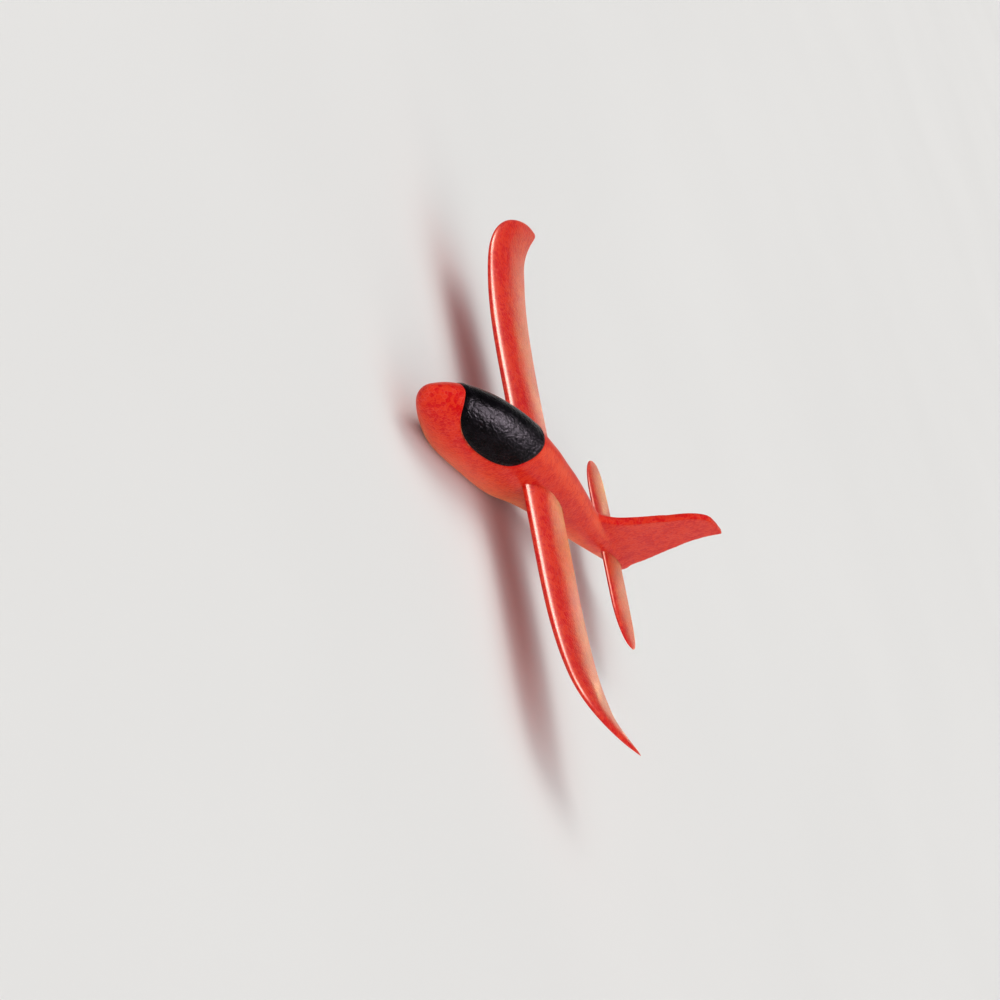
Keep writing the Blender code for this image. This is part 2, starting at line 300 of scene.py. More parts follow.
class Strand:
    """One output of a node. Python's operators on it add Math nodes."""

    def __init__(self, recipe: "Recipe", socket: bpy.types.NodeSocket) -> None:
        """Holds an output socket of a recipe's node."""
        self.recipe = recipe
        self.socket = socket

    def maths(self, operation: str, first: object, second: object) -> "Strand":
        """Adds one Math node on two values."""
        return self.recipe.node("ShaderNodeMath", {"operation": operation}, {0: first, 1: second})

    def __add__(self, value: object) -> "Strand":
        """Sum."""
        return self.maths("ADD", self, value)

    def __radd__(self, value: object) -> "Strand":
        """Sum with a number in front."""
        return self.maths("ADD", value, self)

    def __sub__(self, value: object) -> "Strand":
        """Difference."""
        return self.maths("SUBTRACT", self, value)

    def __rsub__(self, value: object) -> "Strand":
        """Difference from a number."""
        return self.maths("SUBTRACT", value, self)

    def __mul__(self, value: object) -> "Strand":
        """Product."""
        return self.maths("MULTIPLY", self, value)

    def __rmul__(self, value: object) -> "Strand":
        """Product with a number in front."""
        return self.maths("MULTIPLY", value, self)


class Recipe:
    """A material in the making: its nodes, its Principled shader and its coordinates."""

    def __init__(self, name: str, **constants: object) -> None:
        """Starts a material.

        Args:
            name: the material's name.
            constants: shader sockets that are the same all over, by socket name with _ for a space.
        """
        self.material = bpy.data.materials.new(name)
        self.material.use_nodes = True
        self.tree = self.material.node_tree
        self.shader = self.tree.nodes["Principled BSDF"]
        for socket, value in constants.items():
            self.shader.inputs[socket.replace("_", " ")].default_value = value
        self.place = self.node("ShaderNodeTexCoord", {}, {}, "Object")

    def node(self, kind: str, settings: dict, inputs: dict, output: str | int = 0) -> Strand:
        """Adds one node.

        Args:
            kind: the node's type.
            settings: its properties, such as a Math node's operation, set first.
            inputs: its sockets by name or number, each a value or a Strand.
            output: the output to return.

        Returns:
            The output as a Strand.
        """
        made = self.tree.nodes.new(kind)
        for name, value in settings.items():
            setattr(made, name, value)
        for name, value in inputs.items():
            self.feed(made.inputs[name], value)
        return Strand(self, made.outputs[output])

    def feed(self, socket: bpy.types.NodeSocket, value: object) -> None:
        """Links a Strand to a socket, or sets the socket's value."""
        if isinstance(value, Strand):
            self.tree.links.new(value.socket, socket)
        else:
            socket.default_value = value

    def mix(self, share: Strand, first: object, second: object) -> Strand:
        """Mixes two colours by a share; a colour is a Strand or three numbers."""
        sides = {6: first, 7: second}
        inputs = {k: v if isinstance(v, Strand) else (*v, 1.0) for k, v in sides.items()}
        return self.node("ShaderNodeMix", {"data_type": "RGBA"}, {0: share, **inputs}, 2)

    def range(self, value: Strand, low: float, high: float) -> Strand:
        """Rises smoothly from 0 to 1 as a value goes from low to high."""
        inputs = {"Value": value, "From Min": low, "From Max": high}
        return self.node("ShaderNodeMapRange", {"interpolation_type": "SMOOTHSTEP"}, inputs)

    def cells(self, size: float, feature: str, output: str) -> Strand:
        """A Voronoi pattern with cells of a size in metres."""
        inputs = {"Vector": self.place, "Scale": 1 / size}
        return self.node("ShaderNodeTexVoronoi", {"feature": feature}, inputs, output)

    def noise(self, size: float, detail: float = 2.0, place: Strand | None = None) -> Strand:
        """A noise pattern with lumps of a size in metres."""
        inputs = {"Vector": place or self.place, "Scale": 1 / size, "Detail": detail}
        return self.node("ShaderNodeTexNoise", {}, inputs)

    def stretched(self, scale: tuple[float, float, float], turn: tuple[float, float, float]) -> Strand:
        """The coordinates, turned and then stretched, for grain that runs one way."""
        return self.node("ShaderNodeMapping", {}, {"Vector": self.place, "Rotation": turn, "Scale": scale})

    def finish(self, colour: object, roughness: object, height: Strand, relief: float) -> bpy.types.Material:
        """Feeds the shader and returns the material.

        Args:
            colour: base colour, a Strand or three numbers.
            roughness: a Strand or a number.
            height: the surface's relief, from 0 to 1.
            relief: how many metres a height of 1 is.

        Returns:
            The finished material.
        """
        self.feed(self.shader.inputs["Base Color"], colour if isinstance(colour, Strand) else (*colour, 1.0))
        self.feed(self.shader.inputs["Roughness"], roughness)
        bump = {"Height": height, "Distance": relief, "Strength": 1.0}
        self.feed(self.shader.inputs["Normal"], self.node("ShaderNodeBump", {}, bump))
        return self.material


@dataclass(frozen=True)
class BeadFoam:
    """Moulded bead foam: fused beads with paler seams between them, under a thin skin."""

    name: str
    deep: Colour
    lit: Colour
    seam: Colour
    bead: float = 3.4 * MM
    relief: float = 0.26 * MM
    roughness: float = 0.40
    gloss: float = 0.08
    coat: float = 0.50
    coat_blur: float = 0.27
    fuzz: float = 0.22
    warm_gloss: tuple = (1.0, 0.50, 0.32, 1.0)
    warm_fuzz: tuple = (1.0, 0.42, 0.22, 1.0)

    def material(self) -> bpy.types.Material:
        """Writes the foam's material."""
        recipe = Recipe(self.name, Coat_Weight=self.coat, Coat_Roughness=self.coat_blur, IOR=1.48,
                        Specular_IOR_Level=self.gloss, Specular_Tint=self.warm_gloss,
                        Sheen_Weight=self.fuzz, Sheen_Roughness=0.30, Sheen_Tint=self.warm_fuzz)
        wander = recipe.noise(self.bead * 2.2)
        edge = recipe.cells(self.bead, "DISTANCE_TO_EDGE", "Distance")
        tone = recipe.cells(self.bead, "F1", "Color")
        patches = recipe.noise(22 * MM, 3.0)
        grain = recipe.noise(1.5 * MM, 3.0)
        seams = 1 - recipe.range(edge, 0.0, 0.11)
        warm = recipe.range(patches * 0.32 + tone * 0.24 + grain * 0.44, 0.41, 0.55)
        colour = recipe.mix(warm, self.deep, self.lit)
        colour = recipe.mix(seams * recipe.range(wander, 0.40, 0.62) * 0.45, colour, self.seam)
        domes = recipe.range(edge, 0.0, 0.30)
        height = domes * 0.62 + tone * 0.16 + grain * 0.22
        roughness = self.roughness + grain * 0.16 + seams * 0.10 - 0.08
        return recipe.finish(colour, roughness, height, self.relief)


@dataclass(frozen=True)
class SatinMoulding:
    """Black satin moulding with a mottled grain that shows in its highlight."""

    name: str = "satin_black_moulding"
    colour: Colour = (0.0010, 0.0007, 0.0012)
    bloom: Colour = (0.0045, 0.0034, 0.0050)

    def material(self) -> bpy.types.Material:
        """Writes the moulding's material."""
        recipe = Recipe(self.name, IOR=1.45, Specular_IOR_Level=0.045)
        along = recipe.stretched((1.0, 0.42, 1.0), (0.0, 0.0, math.radians(24)))
        streaks = recipe.noise(1.9 * MM, 4.0, along)
        mottle = recipe.noise(5.5 * MM, 3.0, along)
        colour = recipe.mix(recipe.range(mottle, 0.38, 0.66), self.colour, self.bloom)
        roughness = 0.10 + streaks * 0.26 + mottle * 0.08
        return recipe.finish(colour, roughness, streaks * 0.86 + mottle * 0.14, 0.95 * MM)


@dataclass(frozen=True)
class TurnedSteel:
    """Zinc-plated steel bar with faint draw marks along it."""

    name: str = "zinc_plated_steel"
    bright: Colour = (0.60, 0.61, 0.63)
    dull: Colour = (0.42, 0.43, 0.46)

    def material(self) -> bpy.types.Material:
        """Writes the steel's material."""
        recipe = Recipe(self.name, Metallic=1.0)
        marks = recipe.noise(1.2 * MM, 4.0, recipe.stretched((1.0, 0.06, 1.0), (0.0, 0.0, 0.0)))
        bloom = recipe.noise(6 * MM, 3.0)
        colour = recipe.mix(recipe.range(bloom, 0.35, 0.65), self.bright, self.dull)
        return recipe.finish(colour, 0.22 + marks * 0.2 + bloom * 0.12, marks, 0.03 * MM)


@dataclass(frozen=True)
class GlassRod:
    """Pultruded glass-fibre rod: fine fibres along its length in clear resin."""

    name: str = "glass_fibre_rod"
    resin: Colour = (0.55, 0.55, 0.40)
    fibre: Colour = (0.80, 0.80, 0.70)

    def material(self) -> bpy.types.Material:
        """Writes the rod's material."""
        recipe = Recipe(self.name, IOR=1.52, Coat_Weight=0.3, Coat_Roughness=0.15)
        fibres = recipe.noise(0.35 * MM, 3.0, recipe.stretched((0.03, 1.0, 1.0), (0.0, 0.0, 0.0)))
        colour = recipe.mix(recipe.range(fibres, 0.35, 0.65), self.resin, self.fibre)
        return recipe.finish(colour, 0.26 + fibres * 0.2, fibres, 0.05 * MM)


# Fuselage and what is fitted into it


@dataclass
class Fuselage:
    """The one-piece foam body: pod, boom and fin, with a canopy seat and through-slots."""

    sides: int = 72
    rings: int = 84
    ring_spread: float = 1.7
    fin_root_half: float = 3.9 * MM
    fin_tip_half: float = 2.9 * MM
    fin_rounding: float = 2.3 * MM
    voxel: float = 1.1 * MM
    seat_depth: float = 3.0 * MM
    gap: float = 0.35 * MM
    stations: tuple = (
        (0.000, 0.0360, 0.0360, 0.0000), (0.008, 0.0430, 0.0220, 0.0070), (0.023, 0.0533, 0.0140, 0.0130),
        (0.047, 0.0625, 0.0055, 0.0187), (0.078, 0.0698, -0.0012, 0.0231), (0.125, 0.0744, -0.0022, 0.0247),
        (0.176, 0.0723, -0.0012, 0.0224), (0.205, 0.0690, 0.0060, 0.0203), (0.235, 0.0656, 0.0108, 0.0179),
        (0.282, 0.0584, 0.0143, 0.0145), (0.332, 0.0507, 0.0189, 0.0104), (0.391, 0.0450, 0.0255, 0.0066),
        (0.416, 0.0430, 0.0280, 0.0050),
    )
    fin_leading: tuple = (
        (0.300, 0.0520), (0.324, 0.0610), (0.336, 0.0735), (0.352, 0.0980), (0.364, 0.1180), (0.379, 0.1288),
        (0.396, 0.1300), (0.4155, 0.1290),
    )
    fin_trailing: tuple = (
        (0.4155, 0.1290), (0.4100, 0.1120), (0.4095, 0.0860), (0.4140, 0.0560), (0.4155, 0.0380),
    )
    fin_base: tuple = ((0.400, 0.036), (0.320, 0.036))
    fillet_stations: tuple[float, float] = (0.285, 0.315)
    fillet_reach: tuple[float, float] = (3 * MM, 9 * MM)

    def __post_init__(self) -> None:
        """Reads the nose and the length from the CAD node."""
        low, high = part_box("fuselage")
        self.nose_y = low.y
        self.length = high.y - low.y

    def profile(self, station: float, column: int) -> float:
        """Top (1), bottom (2) or half width (3) at a station behind the nose."""
        return through([(math.sqrt(row[0]), row[column]) for row in self.stations], math.sqrt(station))

    def skin(self, station: float, angle: float, grow: float = 0.0) -> Vector:
        """A point on the skin.

        Args:
            station: distance behind the nose.
            angle: place round the ring, from 0 at the +X side to a quarter turn at the top.
            grow: how far outside the skin.

        Returns:
            The point.
        """
        top, bottom = self.profile(station, 1), self.profile(station, 2)
        half_width = self.profile(station, 3) + grow
        half_height = (top - bottom) / 2 + grow
        return Vector((half_width * math.cos(angle), self.nose_y + station,
                       (top + bottom) / 2 + half_height * math.sin(angle)))

    def edge_angle(self, station: float, height: float) -> float:
        """The angle round the ring at which the skin has a height; a quarter turn above the top."""
        top, bottom = self.profile(station, 1), self.profile(station, 2)
        return math.asin(min(max((2 * height - top - bottom) / (top - bottom), -1.0), 1.0))

    def pod(self) -> Bench:
        """Draws the pod and boom from a circle, ring by ring, and cuts the belly flat."""
        least = 0.2 * MM
        start = Vector((0.0, self.nose_y, self.stations[0][1]))
        bench = Bench.circle("fuselage_foam", self.sides, start, Vector((math.pi / 2, 0, 0)))
        bench.everything()
        bench.resize(Vector((least, 1, least)), start)
        centre, half_width, half_height = start, least, least
        for ring in range(1, self.rings + 1):
            station = self.length * (ring / self.rings) ** self.ring_spread
            top, bottom = self.profile(station, 1), self.profile(station, 2)
            new = Vector((0.0, self.nose_y + station, (top + bottom) / 2))
            wide, high = max(self.profile(station, 3), least), max((top - bottom) / 2, least)
            bench.extrude(new - centre)
            bench.resize(Vector((wide / half_width, 1, high / half_height)), new)
            centre, half_width, half_height = new, wide, high
        bpy.ops.mesh.edge_face_add()
        bench.pick(lambda vertex: vertex.co.y < self.nose_y + MM / 1000)
        bpy.ops.mesh.merge(type="CENTER")
        bench.everything()
        bpy.ops.mesh.bisect(plane_co=(0, 0, 0), plane_no=(0, 0, -1), clear_outer=True, use_fill=True)
        bench.outward()
        return bench

    def fin(self) -> Bench:
        """Cuts the fin from a plate, thinner towards its top and rounded all round."""
        line = sampled(self.fin_leading, 34) + sampled(self.fin_trailing, 20)[1:]
        line += self.fin_base
        bench = Bench.circle("fin", len(line), Vector(), Vector((0, math.pi / 2, 0)), "NGON")
        bench.shape(lambda i, co: Vector((-self.fin_root_half, self.nose_y + line[i][0], line[i][1])))
        bench.everything()
        bench.extrude(Vector((2 * self.fin_root_half, 0, 0)))
        bench.everything()
        bpy.ops.mesh.normals_make_consistent(inside=False)
        mesh = bench.edit()
        for edge in mesh.edges:
            edge.select_set(abs(edge.verts[0].co.x - edge.verts[1].co.x) < MM / 10)
        bmesh.update_edit_mesh(bench.piece.data)
        bpy.ops.mesh.bevel(offset=self.fin_rounding, segments=4, affect="EDGES")
        root, top = self.fin_leading[0][1], self.fin_leading[-1][1]
        slim = self.fin_tip_half / self.fin_root_half

        def taper(_: int, co: Vector) -> Vector:
            """Slims the plate towards its top."""
            return Vector((co.x * (1 + (slim - 1) * ease(co.z, root, top)), co.y, co.z))

        bench.shape(taper)
        return bench

    def near_fin_root(self, co: Vector) -> float:
        """Weight of the hollow fillet where the fin grows out of the boom."""
        station = co.y - self.nose_y
        rise = abs(co.z - self.profile(station, 1))
        return ease(station, *self.fillet_stations) * (1 - ease(rise, *self.fillet_reach))

    def build(self, canopy: "Canopy", slots: Sequence["Panel"], ballast: "Ballast",
              foam: bpy.types.Material) -> bpy.types.Object:
        """Makes the whole foam body.

        Args:
            canopy: gives the seat and the peg sockets.
            slots: the panels that pass through the body.
            ballast: gives the pocket under the canopy.
            foam: the body's material.

        Returns:
            The finished fuselage.
        """
        bench = self.pod()
        bench.cut(self.fin(), "UNION")
        bench.cut(canopy.seat(self.seat_depth))
        bench.apply("REMESH", mode="VOXEL", voxel_size=self.voxel, adaptivity=0.0)
        bench.apply("SMOOTH", factor=0.5, iterations=5)
        group = bench.weigh("fin_fillet", self.near_fin_root)
        bench.apply("SMOOTH", factor=0.5, iterations=10, vertex_group=group)
        for panel in slots:
            bench.cut(panel.slot(self.gap))
        bench.cut(ballast.pocket(self.gap))
        for socket in canopy.sockets(self.gap):
            bench.cut(socket)
        return bench.deliver(Body.AIRFRAME, Slot.FOAM, ["fuselage"], foam)


@dataclass
class Canopy:
    """The lift-off canopy: a shell with a rolled rim, and two pegs that plug into the foam."""

    fuselage: Fuselage
    around: int = 104
    across: int = 22
    proud: float = 0.7 * MM
    wall: float = 2.5 * MM
    lip_inset: float = 2.4 * MM
    lip_width: float = 0.7 * MM
    lip_height: float = 0.45 * MM
    rim_roll: float = 1.3 * MM
    middle_to_rim: float = 30 * MM
    ring_spread: float = 1.35
    least_radius: float = 10 * MM
    seat_gap: float = 0.4 * MM
    seat_above: float = 8 * MM
    middle_station: float = 0.083
    peg_radius: float = 3.5 * MM
    peg_rounding: float = 0.8 * MM
    peg_stations: tuple = (0.088, 0.116)
    peg_tip_z: float = 0.056
    socket_length: float = 30 * MM
    edge: tuple = (
        (0.0235, 0.0560), (0.0350, 0.0440), (0.0600, 0.0353), (0.0950, 0.0365),
        (0.1210, 0.0455), (0.1330, 0.0610), (0.1415, 0.0780),
    )

    def __post_init__(self) -> None:
        """Works out the rim on the +X side as (station, angle) pairs, evenly spaced from front to back."""
        fine = sampled(self.edge, 400)
        on_skin = [(s, self.fuselage.edge_angle(s, z)) for s, z in fine if z < self.fuselage.profile(s, 1)]
        points = [self.fuselage.skin(s, a) for s, a in on_skin]
        run = [0.0]
        for before, after in zip(points, points[1:]):
            run.append(run[-1] + (after - before).length)
        half = self.around // 2
        self.rim = []
        for step in range(half + 1):
            want = run[-1] * step / half
            i = next((k for k in range(1, len(run)) if run[k] >= want), len(run) - 1)
            t = (want - run[i - 1]) / (run[i] - run[i - 1])
            (s0, a0), (s1, a1) = on_skin[i - 1], on_skin[i]
            self.rim.append((s0 + (s1 - s0) * t, a0 + (a1 - a0) * t))
        self.rim[0] = (self.rim[0][0], math.pi / 2)
        self.rim[half] = (self.rim[half][0], math.pi / 2)

    def push(self, place: int, widen: float) -> tuple[float, float]:
        """How far the rim moves when it is pushed outwards along the skin.

        Args:
            place: place along the +X side of the rim, from 0 in front.
            widen: how far it is pushed.

        Returns:
            The moves in station and in angle.
        """
        if place in (0, self.around // 2):
            return (widen if place else -widen), 0.0
        (before_s, before_a), (after_s, after_a) = self.rim[place - 1], self.rim[place + 1]
        radius = max(self.fuselage.profile(self.rim[place][0], 3), self.least_radius)
        run, turn = after_s - before_s, (after_a - before_a) * radius
        size = math.hypot(run, turn)
        return widen * turn / size, -widen * run / size / radius

    def lay(self, share: float, step: int, grow: float, widen: float = 0.0) -> Vector:
        """A point of the canopy's skin.

        Args:
            share: from 0 in the middle to 1 at the rim.
            step: place round the rim.
            grow: how far outside the fuselage's skin.
            widen: how far the rim is pushed outwards along the skin.

        Returns:
            The point.
        """
        half = self.around // 2
        step %= self.around
        place = min(step, self.around - step)
        station, angle = self.rim[place]
        if widen:
            back, turn = self.push(place, widen)
            station, angle = station + back, angle + turn
        station = self.middle_station + share * (station - self.middle_station)
        angle = math.pi / 2 + share * (angle - math.pi / 2)
        if step > half:
            angle = math.pi - angle
        return self.fuselage.skin(station, angle, grow)

    def patch(self, name: str, grow: Callable[[float], float], widen: float = 0.0) -> Bench:
        """Lays a disc of rings onto the fuselage's skin.

        Args:
            name: the piece's name.
            grow: how far outside the skin, from the share of the way to the rim.
            widen: how far the rim is pushed outwards.

        Returns:
            The bench with the open sheet on it.
        """
        bench = Bench.circle(name, self.around, Vector(), Vector())
        bench.everything()
        shares = [1 - (k / self.across) ** self.ring_spread for k in range(self.across)]
        for before, after in zip(shares, shares[1:]):
            bench.extrude(Vector((0, 0, 0)))
            bench.resize(Vector((after / before, after / before, 1)), Vector())
        bpy.ops.mesh.extrude_region_move()
        bpy.ops.mesh.merge(type="CENTER")

        def rule(_: int, co: Vector) -> Vector:
            """Wraps a flat place onto the skin."""
            share = min(math.hypot(co.x, co.y), 1.0)
            step = round(math.atan2(co.y, co.x) / math.tau * self.around)
            return self.lay(share, step, grow(share), widen)

        bench.shape(rule)
        bench.outward()
        return bench

    def seat(self, depth: float) -> Bench:
        """The cutter of the canopy's seat, from inside the skin to well above it."""
        bench = self.patch("canopy_seat", lambda share: self.seat_above, self.seat_gap)
        bench.apply("SOLIDIFY", thickness=depth + self.seat_above, offset=-1.0, use_even_offset=False)
        return bench

    def sockets(self, gap: float) -> list[Bench]:
        """The cutters of the two peg sockets."""
        return [self.peg(station, -gap, self.socket_length, gap) for station in self.peg_stations]

    def peg(self, station: float, down: float, length: float, grow: float) -> Bench:
        """One upright peg.

        Args:
            station: distance behind the nose.
            down: how far above the peg's tip it starts.
            length: its length.
            grow: how much is added to its radius.

        Returns:
            The bench with the peg on it.
        """
        low = Vector((0.0, self.fuselage.nose_y + station, self.peg_tip_z + down))
        return Bench.rod("peg", 28, self.peg_radius + grow, low, length)

    def skin_height(self, share: float) -> float:
        """The shell's height over the fuselage's skin: rolled down at the rim, with a fine bead inside it."""
        inward = (1 - share) * self.middle_to_rim
        roll = math.sqrt(max(1 - (1 - min(inward / self.rim_roll, 1.0)) ** 2, 0.0))
        bead = math.exp(-(((inward - self.lip_inset) / self.lip_width) ** 2))
        return self.proud * roll + self.lip_height * bead

    def build(self, finish: bpy.types.Material) -> bpy.types.Object:
        """Makes the canopy shell with its pegs."""
        bench = self.patch("canopy_shell", self.skin_height)
        bench.apply("SOLIDIFY", thickness=self.wall, offset=-1.0)
        bench.apply("SUBSURF", levels=1, render_levels=1)
        for station in self.peg_stations:
            top = self.fuselage.profile(station, 1) - self.wall / 2
            peg = self.peg(station, 0.0, top - self.peg_tip_z, 0.0)
            peg.pick(lambda vertex: vertex.co.z < self.peg_tip_z + MM / 10)
            bpy.ops.mesh.bevel(offset=self.peg_rounding, segments=3, affect="EDGES")
            bench.cut(peg, "UNION")
        return bench.deliver(Body.CANOPY, Slot.CANOPY, ["canopy"], finish)


@dataclass
class Ballast:
    """The steel slug at the bottom of its pocket, and the foam plug over it."""

    pocket_top: float = 95 * MM

    def pocket(self, gap: float) -> Bench:
        """The cutter of the pocket, from under the slug to above the fuselage."""
        low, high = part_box("nose_weight")
        low = low - Vector((gap, gap, gap))
        high = Vector((high.x + gap, high.y + gap, self.pocket_top))
        return Bench.cube("pocket", high - low, (low + high) / 2)

    def build(self, steel: bpy.types.Material, foam: bpy.types.Material) -> None:
        """Dresses the slug and the plug, which keep their CAD shapes."""
        dress("nose_weight", steel)
        dress("weight_plug", foam)


def dress(node: str, finish: bpy.types.Material) -> None:
    """Gives a CAD node its finish."""
    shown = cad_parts[node]
    shown.data.materials.clear()
    shown.data.materials.append(finish)
    log.info("%s: CAD shape kept, dressed in %s", node, finish.name)


# Wing and tailplane


@dataclass
class Panel:
    """A one-piece flying surface that slides through the fuselage."""

    node: str
    body: Body
    chord: float
    straight: float
    thickness: float
    camber: float
    edge_thickness: float
    trailing: tuple
    nose_round: tuple[float, float]
    bow: float
    rise: float
    rise_power: float
    thinning: float
    points: int = 56
    rings: int = 46
    ring_spread: float = 1.7
    slot_half: float = 40 * MM
    tip_closing: float = 2.4 * MM
    tip_least: float = 0.22

    def __post_init__(self) -> None:
        """Reads the span and the height from the CAD node."""
        low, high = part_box(self.node)
        self.half_span = high.x
        self.chord_z = low.z - self.lowest()
        self.leading_y = low.y + self.bow_ahead()

    def bow_ahead(self) -> float:
        """How far ahead of the straight part the leading edge bows."""
        places = [self.half_span * i / 400 for i in range(401)]
        return -min(self.leading(x) for x in places)

    def leading(self, x: float) -> float:
        """How far the leading edge lies behind its place at the middle."""
        start, depth = self.nose_round
        share = min(max((x - start) / (self.half_span - start), 0.0), 1.0)
        return depth * (1 - math.sqrt(max(1 - share**2.5, 0.0))) - self.bow * self.outboard(x) ** 2

    def outboard(self, x: float) -> float:
        """Share of the way from the straight part to the tip."""
        return max(x - self.straight, 0.0) / (self.half_span - self.straight)

    def surface(self, share: float, side: float, grow: float = 0.0) -> Vector:
        """A point of the section at the middle, as (0, back, up).

        Args:
            share: share of the chord from the leading edge.
            side: 1 on top, -1 below, and between them at the rounded edges.
            grow: clearance outside the skin.

        Returns:
            The point, from the leading edge.
        """
        form = 5 * self.thickness * (
            0.2969 * math.sqrt(share) - 0.1260 * share - 0.3516 * share**2 + 0.2843 * share**3
            - 0.1036 * share**4
        )
        crest = 0.4
        run = crest if share < crest else 1 - crest
        middle = self.camber * (1 - ((share - crest) / run) ** 2)
        closing = math.sqrt(max(1 - share**24, 0.0)) if grow == 0 else 1.0
        half = form * self.chord + self.edge_thickness / 2 * share * closing + grow
        return Vector((0.0, share * (self.chord + 2 * grow) - grow, middle * self.chord + side * half))

    def lowest(self) -> float:
        """The lowest point of the section at the middle."""
        return min(self.surface(i / 200, -1).z for i in range(1, 200))

    def section(self, name: str, x: float, grow: float = 0.0, fill: str = "NOTHING") -> Bench:
        """Bends a circle into the wing section.

        Args:
            name: the piece's name.
            x: where it stands.
            grow: clearance all round.
            fill: NOTHING or NGON.

        Returns:
            The bench with the section on it.
        """
        bench = Bench.circle(name, self.points, Vector(), Vector((0, math.pi / 2, 0)), fill)

        def rule(_: int, co: Vector) -> Vector:
            """Turns a place on the circle into one on the section."""
            share = (1 + co.y) / 2
            side = 0.0 if abs(co.z) < 1e-6 and grow == 0 else math.copysign(1.0, co.z)
            return Vector((x, self.leading_y, self.chord_z)) + self.surface(share, side, grow)

        bench.shape(rule)
        bench.everything()
        return bench

    def slot(self, gap: float) -> Bench:
        """The cutter of the slot that the straight part passes through."""
        bench = self.section(self.node + "_slot", -self.slot_half, gap, "NGON")
        bench.extrude(Vector((2 * self.slot_half, 0, 0)))
        bench.outward()
        return bench

    def half(self) -> Bench:
        """Draws the +X half from the middle to its rounded tip."""
        bench = self.section(self.node + "_foam", 0.0)
        at = Vector((0.0, self.leading_y, self.chord_z))
        chord, thick = self.chord, 1.0
        places = [self.straight * share for share in (0.25, 0.5, 0.75, 1.0)]
        steps = self.rings - len(places)
        outer = self.half_span - self.straight
        places += [self.straight + outer * (1 - (1 - i / steps) ** self.ring_spread)
                   for i in range(1, steps + 1)]
        for x in places:
            outboard = self.outboard(x)
            back = self.leading(x)
            new_chord = through(self.trailing, max(x, self.straight)) - back
            left = max(x - (self.half_span - self.tip_closing), 0.0) / self.tip_closing
            rounding = max(math.sqrt(max(1 - left**2, 0.0)), self.tip_least)
            trim = 0.5 * self.tip_closing * (1 - rounding)
            new_thick = (1 - self.thinning * outboard**3) * new_chord / self.chord * rounding
            lift = self.rise * outboard**self.rise_power
            new = Vector((x, self.leading_y + back + trim, self.chord_z + lift))
            bench.extrude(new - at)
            size = (new_chord - 2 * trim) / chord
            bench.resize(Vector((1, size, new_thick / thick)), new)
            at, chord, thick = new, new_chord - 2 * trim, new_thick
        bpy.ops.mesh.edge_face_add()
        return bench

    def build(self, foam: bpy.types.Material, groove: Bench | None = None) -> bpy.types.Object:
        """Makes the whole panel.

        Args:
            foam: its material.
            groove: the cutter of a rod's groove, if it has one.

        Returns:
            The finished panel.
        """
        bench = self.half()
        bench.apply("MIRROR", use_axis=(True, False, False), use_clip=True, merge_threshold=MM / 100)
        bench.outward()
        bench.apply("SUBSURF", levels=1, render_levels=1)
        if groove:
            bench.cut(groove)
        return bench.deliver(self.body, Slot.FOAM, [self.node], foam)


def rod_groove(gap: float, depth: float = 10 * MM) -> Bench:
    """The cutter of the groove that holds the wing's rod, open towards the underside."""
    low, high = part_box("wing_spar")
    size = Vector((high.x - low.x + 2 * gap, high.y - low.y + 2 * gap, depth))
    return Bench.cube("groove", size, Vector((0.0, (low.y + high.y) / 2, high.z + gap - depth / 2)))


# Camera, floor and light


@dataclass(frozen=True)
class Viewpoint:
    """Where the camera stands: round the glider, above the floor, and how it is rolled."""

    aim: tuple[float, float, float] = (0.00946, -0.00853, 0.00629)
    azimuth: float = 27.171
    elevation: float = 17.098
    roll: float = 70.786
    distance: float = 2.28357
    lens: float = 99.666

    def back(self) -> Vector:
        """The direction from the glider to the camera."""
        a, e = math.radians(self.azimuth), math.radians(self.elevation)
        return Vector((math.sin(a) * math.cos(e), -math.cos(a) * math.cos(e), math.sin(e)))

    def place(self) -> None:
        """Adds the camera and makes it the scene's."""
        Bench.clear()
        turn = (-self.back()).to_track_quat("-Z", "Y") @ Quaternion((0, 0, 1), math.radians(self.roll))
        bpy.ops.object.camera_add(location=Vector(self.aim) + self.back() * self.distance,
                                  rotation=turn.to_euler())
        camera = bpy.context.active_object
        camera.name = camera.data.name = "view_camera"
        camera.data.lens = self.lens
        camera.data.sensor_width = 36.0
        camera.data.clip_end = 200.0
        bpy.context.scene.camera = camera


class Reach(Enum):
    """What sees a light, as (colour, gloss): only a finish's gloss, or only its colour."""

    GLOSS = (False, True)
    COLOUR = (True, False)


@dataclass(frozen=True)
class SoftSun:
    """One distant, wide soft light; one for gloss alone casts no shadow and may name its pieces."""

    name: str
    towards: tuple[float, float, float]
    width: float
    strength: float
    colour: Colour
    reach: Reach
    pieces: tuple[str, ...] = ()

    def hang(self) -> None:
        """Adds the light, shining from the direction that it is named towards."""
        Bench.clear()
        facing = (-Vector(self.towards)).to_track_quat("-Z", "Y")
        bpy.ops.object.light_add(type="SUN", location=self.towards, rotation=facing.to_euler())
        light = bpy.context.active_object
        light.name = light.data.name = self.name
        light.data.angle = math.radians(self.width)
        light.data.energy = self.strength
        light.data.color = self.colour
        light.visible_diffuse, light.visible_glossy = self.reach.value
        light.data.use_shadow = self.reach is not Reach.GLOSS
        light.data.cycles.use_multiple_importance_sampling = light.data.use_shadow
        if self.pieces:
            lit = bpy.data.collections.new(self.name + "_pieces")
            for piece in self.pieces:
                lit.objects.link(bpy.data.objects[piece])
            light.light_linking.receiver_collection = lit
        log.info("light %s: %.1f W/m2", self.name, self.strength)


